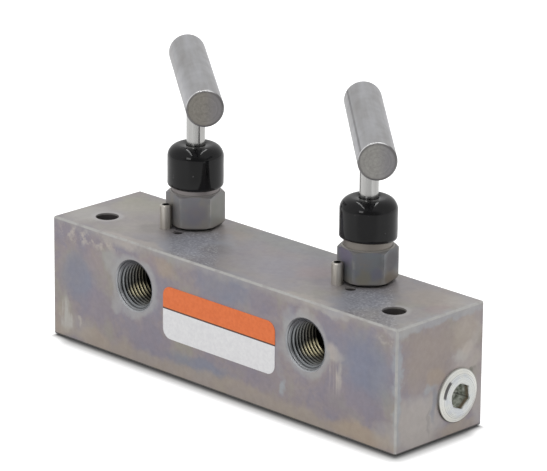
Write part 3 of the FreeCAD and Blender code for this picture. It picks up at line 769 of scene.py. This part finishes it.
def spring_steel(side):
    """A lock pin, drawn along its length, with painted shade on the side towards the bonnet and inside.
    """
    shader = material(f"{side}_spring_steel", metallic=0.8)
    streaks = shader.noise(1.0, detail=3.0, vector=shader.along((900, 900, 70)))
    shader.base(shader.ramp(streaks, [(0.3, tint(184, 179, 169)), (0.7, tint(216, 212, 205))]))
    centre = middle(f"{side}_lock_pin")
    towards = (VALVE[side] - centre) * Vector((1, 1, 0))
    # Painted shade on the side that faces the bonnet
    bonnet_side_shade = shader.stretch(shader.depth(centre, towards.normalized()), 0.2 * MM, 1.6 * MM, 0.0, 0.75)
    shader.paint(bonnet_side_shade, tint(112, 106, 98))
    # Painted shade inside the hollow pin
    inside = shader.fade(shader.off_axis(centre, UP), 1.2 * MM, 1.35 * MM)
    shader.paint(inside, tint(30, 28, 28))
    shader.rough(shader.noise(400), 0.3, 0.4)
    return shader.owner


def vinyl():
    """The dust caps: glossy black dip-moulded vinyl with a few dust specks."""
    shader = material("black_vinyl", specular=0.33)
    shader.base(shader.cloudy(160, tint(12, 12, 13), tint(19, 19, 20)))
    dust = shader.stretch(shader.noise(1300, detail=1.0), 0.74, 0.80)
    shader.paint(shader.product(dust, 0.5), grey(120))
    shader.rough(shader.noise(160), 0.06, 0.10)
    shader.bumps(shader.noise(240, detail=2.0), 0.12, 0.15)
    return shader.owner


def rubber():
    shader = material("black_rubber")
    shader.base(shader.cloudy(900, grey(26), grey(38)))
    shader.rough(shader.noise(900), 0.55, 0.7)
    return shader.owner


def turned_ring(name, dark, light, low, high, metallic):
    """Small inner rings, with fine turned marks."""
    shader = material(name, metallic=metallic)
    marks = shader.noise(1.0, vector=shader.along((300, 300, 5000)))
    shader.base(shader.ramp(marks, [(0.3, dark), (0.7, light)]))
    shader.rough(marks, low, high)
    return shader.owner


# The label: how high the line between its bands lies above the block's foot, and how thick it is
LABEL_DIVIDE = 23.4 * MM
LABEL_LINE = 0.5 * MM


def label_film():
    """A blank label: an orange band over a white field, with a thin dark line between."""
    shader = material("label_film", specular=0.4)
    height = shader.height()
    shader.base(shader.cloudy(900, tint(226, 226, 228), tint(235, 235, 236)))
    orange = shader.cloudy(900, tint(226, 112, 56), tint(235, 122, 64))
    shader.paint(shader.math("GREATER_THAN", height, LABEL_DIVIDE), orange)
    distance = shader.math("ABSOLUTE", shader.math("SUBTRACT", height, LABEL_DIVIDE))
    shader.paint(shader.math("LESS_THAN", distance, LABEL_LINE / 2), tint(74, 48, 38))
    shader.rough(shader.noise(600), 0.3, 0.4)
    return shader.owner


# Taper pipe thread in the ports, in millimetres. It starts a little way in, and narrows with depth
PITCH = 25.4 / 18
THREAD_START = 0.35
THREAD_LENGTH = 12.9
THREAD_HEIGHT = 1.05
THREAD_TAPER = 1 / 32
# Gap between the port's wall and the sleeve, and the sleeve's least thickness
THREAD_BACK = 0.02
# Points round the sleeve, and rows of points for each turn
THREAD_STEPS = 120
THREAD_ROWS = 14
# Flats on the crest and the root, as shares of half a pitch
CREST_SHARE = 0.12
ROOT_SHARE = 0.16
# Depths between which the grooves grow from nothing, past the countersink
LEAD_IN = (0.7, 1.9)
# Radii at the mouth between which the crest colour turns to the roots' painted shade, and the depth
# over which the crests are painted darker
CREST_LEVELS = (7.75, 8.3)
SHADE_DEPTH = 13.5
# The painted highlight in each port: its place from the mouth's centre, half sizes and strength
PORT_HIGHLIGHTS = {
    "left_outlet": ((-6.0, 7.9, -4.6), (3.4, 3.9, 2.0), 0.8),
    "right_outlet": ((-6.0, 10.0, -5.0), (3.6, 4.8, 2.2), 1.0),
    "inlet": ((10.0, 6.0, -5.0), (4.8, 3.6, 2.2), 0.8),
}


def thread_steel(name):
    """Cut threads: crests dull near the mouth, painted darker deeper in, a painted warm highlight,
    painted shade in roots and above.
    """
    mouth, inward = PORTS[name]
    shader = material(f"{name}_thread_steel", metallic=0.75)
    depth = shader.depth(mouth, inward)
    level = shader.math("ADD", shader.off_axis(mouth, inward), shader.product(depth, THREAD_TAPER))
    crest = shader.fade(level, *mm(CREST_LEVELS))
    along = shader.stretch(depth, 0.0, SHADE_DEPTH * MM, smooth=False)
    # Crests painted darker with depth, as shade deeper in the bore
    pale = shader.ramp(along, [
        (0.06, tint(152, 156, 160)), (0.4, tint(136, 137, 134)),
        (0.72, tint(112, 108, 96)), (0.9, tint(48, 45, 40)),
    ])
    place, size, strength = PORT_HIGHLIGHTS[name]
    # Painted highlight along the lower wall
    highlight = shader.blot(mouth / MM + Vector(place), size)
    pale = shader.mix(shader.product(highlight, strength), pale, tint(246, 236, 196))
    # Painted shade in the roots
    shader.base(shader.mix(crest, tint(44, 45, 47), pale))
    lip = shader.fade(depth, 0.8 * MM, 1.3 * MM)
    shader.paint(lip, COUNTERSINK)
    shader.paint(port_roof(shader, mouth, 6 * MM), ROOF)
    shader.rough(shader.noise(300), 0.32, 0.42)
    return shader.owner


def dress(node, finish):
    """Give a CAD node its material."""
    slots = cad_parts[node].data.materials
    slots.clear()
    slots.append(finish)


def scene_object(name, data):
    made = bpy.data.objects.new(name, data)
    bpy.context.scene.collection.objects.link(made)
    return made


def mesh_object(name, points, faces, finish):
    mesh = bpy.data.meshes.new(name)
    mesh.from_pydata(points, [], faces)
    mesh.materials.append(finish)
    return scene_object(name, mesh)


def mesh_piece(name, points, faces, finish, body):
    """A new smooth mesh that rides on a body."""
    piece = mesh_object(name, points, faces, finish)
    work = bmesh.new()
    work.from_mesh(piece.data)
    bmesh.ops.recalc_face_normals(work, faces=work.faces)
    work.to_mesh(piece.data)
    work.free()
    piece.data.shade_smooth()
    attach(piece, body)
    return piece


def arc(centre, radius, start, end, steps):
    """Points (radius, height) along an arc, angles in degrees from the outward direction."""
    points = []
    for step in range(steps + 1):
        angle = math.radians(start + (end - start) * step / steps)
        points.append((centre[0] + radius * math.cos(angle), centre[1] + radius * math.sin(angle)))
    return points


def ring_faces(rows, columns):
    """Faces of a closed grid: rows and columns both wrap round."""
    faces = []
    for row in range(rows):
        for column in range(columns):
            after, beside = (row + 1) % rows, (column + 1) % columns
            faces.append((row * columns + column, row * columns + beside,
                          after * columns + beside, after * columns + column))
    return faces


# The dust caps, in millimetres: points round, shoulder radius, wall, tucked-in foot and its lip
CAP_STEPS = 144
CAP_SHOULDER = 4.2
CAP_WALL = 1.5
CAP_TUCK = 1.5
CAP_TUCK_IN = 1.0
CAP_LIP = 0.5
CAP_CHAMFER = 1.5
# The dished top round the stem's hole, and how uneven the sides are
CAP_DIMPLE = 0.35
CAP_DIMPLE_STEPS = 8
CAP_HOLE = 3.27
CAP_UNEVEN = 0.05
# How far the mouth's edge stands up all round, how much it tips, and which way it is highest
CAP_LIP_LIFT = {"left": 0.15, "right": 0.62}
CAP_LIP_RISE = {"left": (0.2, -70), "right": (0.68, -72)}
# The height over which that dies out
CAP_LIFT_REACH = 8


def cap_section(outer, height):
    """Half section of a cap: up the outside from its mouth, over the shoulder and back inside."""
    mouth = outer - CAP_TUCK_IN
    bore = mouth - CAP_LIP
    roof = height - CAP_WALL
    section = [(bore, 0.3 * CAP_LIP)]
    section += arc((mouth - CAP_LIP / 2, CAP_LIP / 2), CAP_LIP / 2, -90, -20, 4)
    section += arc((outer - CAP_TUCK, CAP_TUCK), CAP_TUCK, -40, 0, 6)
    section += [(outer, CAP_TUCK + (height - CAP_SHOULDER - CAP_TUCK) * share) for share in (0.3, 0.7)]
    section += arc((outer - CAP_SHOULDER, height - CAP_SHOULDER), CAP_SHOULDER, 0, 84, 20)
    rim = section[-1]
    for step in range(1, CAP_DIMPLE_STEPS + 1):
        share = step / CAP_DIMPLE_STEPS
        section.append((rim[0] + (CAP_HOLE - rim[0]) * share, rim[1] - CAP_DIMPLE * share ** 3))
    return section + [(CAP_HOLE, roof), (bore - CAP_CHAMFER, roof), (bore, roof - CAP_CHAMFER)]


def dust_cap(side, finish):
    """Soft cap, a little uneven as dipped vinyl is, that stands for the plain solid."""
    node = f"{side}_dust_cap"
    low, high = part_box(node)
    outer, height = (high.x - low.x) / 2 / MM, (high.z - low.z) / MM
    foot = Vector((*VALVE[side].xy, low.z))
    rise, highest = CAP_LIP_RISE[side]
    section = cap_section(outer, height)
    points = []
    for radius, level in section:
        for step in range(CAP_STEPS):
            angle = math.tau * step / CAP_STEPS
            uneven = math.sin(3 * angle + 1.0) + 0.6 * math.sin(5 * angle + level) - 1.0
            reach = radius + CAP_UNEVEN * uneven * min(1.0, (radius - CAP_HOLE) / 4)
            lift = CAP_LIP_LIFT[side] + rise * math.cos(angle - math.radians(highest))
            lift = max(0.0, lift) * max(0.0, 1 - level / CAP_LIFT_REACH)
            point = Vector((reach * math.cos(angle), reach * math.sin(angle), level + lift))
            points.append(point * MM + foot)
    faces = ring_faces(len(section), CAP_STEPS)
    piece = mesh_piece(f"{side}_soft_cap", points, faces, finish, "root")
    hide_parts(node)


def thread_height(turns):
    """Height of the thread above its root, 0 to 1, with narrow flats on crest and root."""
    slope = 1 - abs(2 * (turns % 1.0) - 1)
    return min(1.0, max(0.0, (slope - ROOT_SHARE) / (1 - ROOT_SHARE - CREST_SHARE)))


def thread_ring(depth, back):
    """Radii round the sleeve's inside at one depth, cut back by the countersink near the mouth."""
    root = back - THREAD_BACK - depth * THREAD_TAPER
    countersink = PORT_MOUTH / MM - THREAD_START - depth
    groove = (THREAD_START + depth - LEAD_IN[0]) / (LEAD_IN[1] - LEAD_IN[0])
    groove = min(1.0, max(0.0, groove))
    ring = []
    for step in range(THREAD_STEPS):
        height = thread_height(depth / PITCH - step / THREAD_STEPS)
        crest = root - THREAD_HEIGHT * (1 - groove * (1 - height))
        ring.append(min(root, max(crest, countersink)))
    return ring


def port_thread(name):
    """A threaded sleeve that lines a port's wall."""
    mouth, inward = PORTS[name]
    side = UP.cross(inward)
    rows = int(THREAD_LENGTH / PITCH * THREAD_ROWS)
    back = PORT_RADIUS / MM - THREAD_BACK
    depths = [THREAD_LENGTH * row / rows for row in range(rows + 1)]
    rings = [(depth, thread_ring(depth, back)) for depth in depths]
    rings += [(depth, [back] * THREAD_STEPS) for depth in (THREAD_LENGTH, 0.0)]
    points = []
    for depth, ring in rings:
        for step, radius in enumerate(ring):
            angle = math.tau * step / THREAD_STEPS
            out = side * math.cos(angle) + UP * math.sin(angle)
            points.append(mouth + inward * (THREAD_START + depth) * MM + out * radius * MM)
    faces = ring_faces(len(rings), THREAD_STEPS)
    mesh_piece(f"{name}_thread", points, faces, thread_steel(name), "root")


def dress_nodes():
    """A material for every CAD node that shows or could show."""
    bright = turned_ring("gland_zinc", tint(190, 190, 186), tint(214, 214, 210), 0.25, 0.35, 1.0)
    brass = turned_ring("brass", tint(178, 140, 82), tint(198, 160, 98), 0.25, 0.35, 1.0)
    white = turned_ring("white_plastic", tint(214, 212, 205), tint(226, 224, 218), 0.45, 0.55, 0.0)
    polished, black = polished_steel(), rubber()
    dress("manifold_block", plated_steel())
    dress("front_label", label_film())
    dress("gallery_plug", plug_zinc())
    dress("gallery_plug_o_ring", black)
    for side in SIDES:
        for piece, finish in (
            ("bonnet", dark_steel(side)), ("bonnet_seal", brass), ("gland_nut", bright),
            ("stem_o_ring", black), ("backup_ring", white), ("lock_pin", spring_steel(side)),
            ("needle_tip", polished), ("stem", polished), ("handle_bar", bar_steel(side)),
        ):
            dress(f"{side}_{piece}", finish)


def build_camera():
    data = bpy.data.cameras.new("camera")
    data.sensor_width = SENSOR
    data.lens = FOCAL_PIXELS / IMAGE_WIDTH * SENSOR
    data.clip_end = 20.0
    camera = scene_object("camera", data)
    turn = Matrix.Translation(CAMERA_PLACE)
    for angle, axis in ((CAMERA_AZIMUTH, "Z"), (CAMERA_TILT, "X"), (CAMERA_ROLL, "Z")):
        turn = turn @ Matrix.Rotation(math.radians(angle), 4, axis)
    camera.matrix_world = turn
    bpy.context.scene.camera = camera


# The level direction towards the camera, and the one to its right as the camera sees it
TOWARD = Vector((0.7070, -0.7072, 0))
BESIDE = Vector((0.7072, 0.7070, 0))

# Floor: its grey, the darker grey of a painted contact shadow right beside the object, and how far that
# reaches
FLOOR_GREY = 200
FLOOR_FOOT = 108
FOOT_REACH = 2.8 * MM
# How far the floor is lifted to white beyond the shadow, and in mirrors
FLOOR_LIFT = 0.72
FLOOR_MIRROR_LIFT = 0.25
# Where the lift to white begins and is full, out from the block, which paints the shadow's reach
SHADOW_START = 0.8 * MM
SHADOW_REACH = 8.0 * MM
# How many times shorter the painted shadow is past the left end and behind the back, and how far in it
# starts
HIDDEN_SIDES = 2.0
HIDDEN_INSET = 1.8 * MM
# How many times narrower it gets towards those sides, and over what length
CORNER_PINCH = 2.0
PINCH_LENGTH = 9 * MM
# Half the floor's width, and how far it lies below the block
FLOOR_SIZE = 6.0
FLOOR_GAP = 0.05 * MM

# Level of the surroundings as plain light on the object, and of the sky in mirrors
WORLD_DIFFUSE = 0.9
SKY_MIRROR = 0.66
# What is left of the sky's level and of the floor's in the dark parts of mirrors
ROOM_DARK = 0.3
FLOOR_DARK = 0.75
# The dark floor: how far in front it begins, how much wider it gets per metre, and its blurred sides
UNLIT_START = (0.12, 0.20)
UNLIT_SPREAD = 0.65
UNLIT_SIDES = (-0.03, 0.05)
# The dark sky on the camera's side, by parts of the direction: how far in front, its foot and its top
AHEAD_FRONT = (0.5, 0.9)
AHEAD_FOOT = (-0.05, 0.1)
AHEAD_TOP = (0.6, 0.85)
# The dark sky between the strips: its foot, its sides and its back
BETWEEN_FOOT = (0.45, 0.65)
BETWEEN_SIDES = (0.14, 0.26)
BETWEEN_BACK = (-0.3, 0.0)

# Overhead strips and a small lamp beside the camera: watts, metres and degrees
STRIP_POWER = 2.4
STRIP_LENGTH = 1.7
STRIP_WIDTH = 0.06
STRIP_HEIGHT = 1.3
STRIP_SPREAD = 0.30
STRIP_BACK = 0.15
LAMP_POWER = 1.6
LAMP_SIZE = 0.38
LAMP_OUT = 1.2
LAMP_TURN = 31
LAMP_RISE = 27


def floor_distance(shader):
    """How far a point lies outside the block, counted for more on the two hidden sides."""
    past_high = shader.vector("SUBTRACT", shader.place, BLOCK_HIGH - Vector((0, HIDDEN_INSET, 0)))
    past_low = shader.vector("SUBTRACT", BLOCK_LOW + Vector((HIDDEN_INSET, 0, 0)), shader.place)
    past_high = shader.vector("MULTIPLY", past_high, (1, HIDDEN_SIDES, 0))
    past_low = shader.vector("MULTIPLY", past_low, (HIDDEN_SIDES, 1, 0))
    outside = shader.vector("MAXIMUM", shader.vector("MAXIMUM", past_high, past_low), (0, 0, 0))
    corner = shader.math("MAXIMUM", shader.split(past_high)[1], shader.split(past_low)[0])
    pinch = shader.stretch(corner, -HIDDEN_SIDES * PINCH_LENGTH, 0.0, 1.0, CORNER_PINCH)
    return shader.product(shader.vector("LENGTH", outside), pinch)


def unlit_share(shader):
    """Where the floor has run out into the unlit room, on the camera's side."""
    front = shader.dot(shader.place, TOWARD)
    aside = shader.math("ABSOLUTE", shader.dot(shader.place, BESIDE))
    past = shader.math("SUBTRACT", aside, shader.product(front, UNLIT_SPREAD))
    return shader.product(shader.stretch(front, *UNLIT_START), shader.fade(past, *UNLIT_SIDES))


def floor_material():
    """Pale floor, lifted to white past a painted shadow, with a painted contact line. In mirrors it
    runs out into the dark.
    """
    shader = material("pale_floor", specular=0.2)
    shader.feed("Roughness", 0.9)
    distance = floor_distance(shader)
    clear = shader.stretch(distance, SHADOW_START, SHADOW_REACH)
    path = shader.node("ShaderNodeLightPath").outputs
    away = shader.math("MAXIMUM", shader.stretch(distance, 0.0, FOOT_REACH),
                       shader.math("SUBTRACT", 1.0, path["Is Camera Ray"]))
    # Painted contact shadow: to the camera the floor is darker right beside the block
    shader.base(shader.ramp(away, [(0.0, grey(FLOOR_FOOT)), (1.0, grey(FLOOR_GREY))]))
    mirrored = shader.math("MAXIMUM", path["Is Transmission Ray"], path["Is Glossy Ray"])
    lift = shader.math("ADD", shader.product(path["Is Camera Ray"], clear, FLOOR_LIFT),
                       shader.product(mirrored, FLOOR_MIRROR_LIFT))
    shader.feed("Emission Color", (1, 1, 1, 1))
    shader.feed("Emission Strength", lift)
    dark = shader.product(unlit_share(shader), path["Is Glossy Ray"], 1 - FLOOR_DARK)
    unlit = shader.node("ShaderNodeBsdfDiffuse", {"Color": (0, 0, 0, 1)}).outputs[0]
    blend = shader.node("ShaderNodeMixShader", {0: dark, 1: shader.surface.outputs[0], 2: unlit})
    shader.put(shader.tree.nodes["Material Output"].inputs["Surface"], blend.outputs[0])
    return shader.owner


def build_floor():
    corners = [(x * FLOOR_SIZE, y * FLOOR_SIZE, 0) for x, y in ((-1, -1), (1, -1), (1, 1), (-1, 1))]
    floor = mesh_object("floor", corners, [(0, 1, 2, 3)], floor_material())
    floor.location.z = BLOCK_LOW.z - FLOOR_GAP


def build_world():
    """White to the camera. Mirrors see a pale sky, dark between the strips and on the camera's side."""
    world = bpy.data.worlds.new("studio")
    shader = Shader(world)
    background = shader.tree.nodes["Background"].inputs
    background["Color"].default_value = (1, 1, 1, 1)
    direction = shader.coordinates["Generated"]
    path = shader.node("ShaderNodeLightPath").outputs
    front = shader.dot(direction, TOWARD)
    rise = shader.split(direction)[2]
    dark = shader.product(shader.stretch(front, *AHEAD_FRONT), shader.stretch(rise, *AHEAD_FOOT),
                          shader.fade(rise, *AHEAD_TOP))
    beside = shader.math("ABSOLUTE", shader.dot(direction, BESIDE))
    between = shader.product(shader.stretch(rise, *BETWEEN_FOOT), shader.fade(beside, *BETWEEN_SIDES),
                             shader.stretch(front, *BETWEEN_BACK))
    dark = shader.math("MAXIMUM", dark, between)
    mirrored = shader.math("MAXIMUM", path["Is Transmission Ray"], path["Is Glossy Ray"])
    room = shader.stretch(dark, 0.0, 1.0, SKY_MIRROR, ROOM_DARK * SKY_MIRROR, smooth=False)
    level = shader.node("ShaderNodeMix", {0: mirrored, 2: WORLD_DIFFUSE, 3: room}).outputs[0]
    level = shader.node("ShaderNodeMix", {0: path["Is Camera Ray"], 2: level, 3: 1.0}).outputs[0]
    shader.put(background["Strength"], level)
    bpy.context.scene.world = world


def area_light(name, place, turn, size, power):
    data = bpy.data.lights.new(name, "AREA")
    data.shape = "RECTANGLE"
    data.size, data.size_y = size
    data.energy = power
    light = scene_object(name, data)
    light.location = place
    light.rotation_euler = turn


def build_lights():
    """Two long soft strips overhead, side by side, and a small soft lamp beside the camera."""
    azimuth = math.atan2(TOWARD.y, TOWARD.x)
    for name, sign in (("left_strip", -1), ("right_strip", 1)):
        place = -TOWARD * STRIP_BACK + BESIDE * sign * STRIP_SPREAD + UP * STRIP_HEIGHT
        area_light(name, place, (0, 0, azimuth), (STRIP_LENGTH, STRIP_WIDTH), STRIP_POWER)
    turn = azimuth - math.radians(LAMP_TURN)
    out = Vector((math.cos(turn), math.sin(turn), math.tan(math.radians(LAMP_RISE))))
    facing = (-out).to_track_quat("-Z", "Y").to_euler()
    area_light("front_lamp", out * LAMP_OUT, facing, (LAMP_SIZE,) * 2, LAMP_POWER)


build_camera()
build_floor()
build_lights()
build_world()
dress_nodes()
cap_vinyl = vinyl()
for valve_side in SIDES:
    dust_cap(valve_side, cap_vinyl)
for port in PORTS:
    port_thread(port)
bpy.context.scene.view_settings.view_transform = "Standard"
